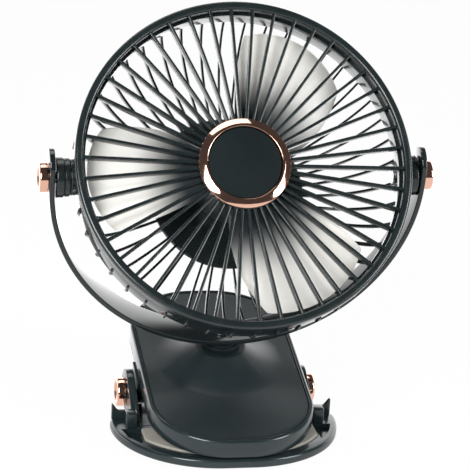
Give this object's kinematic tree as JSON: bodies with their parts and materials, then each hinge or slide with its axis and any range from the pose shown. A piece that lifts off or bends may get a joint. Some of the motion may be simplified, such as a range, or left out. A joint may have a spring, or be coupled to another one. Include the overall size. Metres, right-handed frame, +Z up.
{
  "type": "clip fan",
  "caption": "Round caged fan head that tilts in a swivelling U-shaped yoke, on a sprung clip with a flat base and padded jaws.",
  "frame": {"origin": "on the ground under the hinge of the clip, at the middle of its width", "axes": "+X to the right seen from the front, +Y to the back, +Z up; the fan faces -Y and looks up"},
  "size_m": [0.196, 0.1567, 0.2171],
  "materials": {
    "dark_shell": "semi-gloss",
    "dark_panel": "gloss",
    "rose_gold": "polished",
    "steel": "satin",
    "black_plastic": "matt",
    "blade_cream": "semi-gloss",
    "grey_rubber": "matt",
    "sole_rubber": "matt",
    "board_green": "matt",
    "cell_foil": "satin",
    "lamp_lens": "clear"
  },
  "bodies": {
    "lower_clip": {"lower_jaw": "dark_shell", "lower_grip_pad": "grey_rubber", "sole_pad": "sole_rubber", "hinge_pin": "steel", "jaw_spring_right": "steel", "jaw_spring_left": "steel", "hinge_cap_right": "rose_gold", "hinge_cap_left": "rose_gold"},
    "upper_clip": {"upper_shell": "dark_shell", "top_panel": "dark_panel", "swivel_collar": "dark_shell", "jaw_cover": "dark_shell", "upper_grip_pad": "grey_rubber", "battery_pack": "cell_foil", "charge_board": "board_green", "charge_socket": "steel", "charge_lamp": "lamp_lens", "jaw_screw_1": "steel", "jaw_screw_2": "steel", "jaw_screw_3": "steel", "jaw_screw_4": "steel"},
    "yoke_arm": {"yoke": "dark_shell", "pivot_cap_right": "rose_gold", "pivot_cap_left": "rose_gold", "swivel_bolt": "steel", "swivel_nut": "steel", "swivel_washer": "steel"},
    "fan_head": {"front_grille": "dark_shell", "hub_ring": "rose_gold", "hub_disc": "dark_panel", "rear_grille": "dark_shell", "motor_can": "steel", "rear_cover": "dark_shell", "switch_board": "board_green", "power_switch": "black_plastic", "tilt_boss_right": "dark_shell", "tilt_boss_left": "dark_shell", "pivot_pin_right": "steel", "pivot_pin_left": "steel", "motor_screw_1": "steel", "motor_screw_2": "steel", "motor_screw_3": "steel", "cover_screw_right": "steel", "cover_screw_left": "steel"},
    "rotor": {"impeller": "blade_cream", "impeller_nut": "steel", "motor_shaft": "steel"},
    "button": {"power_button": "rose_gold"}
  },
  "joints": [
    {"name": "jaw_hinge", "type": "hinge", "parent": "lower_clip", "child": "upper_clip", "pos_m": [0, 0, 0.0105], "axis": [-1, 0, 0], "range_deg": [0, 25], "stiffness_Nm_per_rad": 1, "springref_deg": -51.57, "deforming": ["jaw_spring_right", "jaw_spring_left"]},
    {"name": "swivel", "type": "hinge", "parent": "upper_clip", "child": "yoke_arm", "pos_m": [0, -0.02971, 0.13586], "axis": [0, -0.2079, 0.9781], "range_deg": [-170, 170]},
    {"name": "head_tilt", "type": "hinge", "parent": "yoke_arm", "child": "fan_head", "pos_m": [0, -0.02971, 0.13586], "axis": [-1, 0, 0], "range_deg": [-90, 45]},
    {"name": "impeller_spin", "type": "hinge", "parent": "fan_head", "child": "rotor", "pos_m": [0, -0.02971, 0.13586], "axis": [0, -0.8241, 0.5664], "continuous": true},
    {"name": "power_press", "type": "slide", "parent": "fan_head", "child": "button", "axis": [0, -0.8241, 0.5664], "range_m": [0, 0.001], "stiffness_N_per_m": 300, "springref_m": -0.0005}
  ]
}
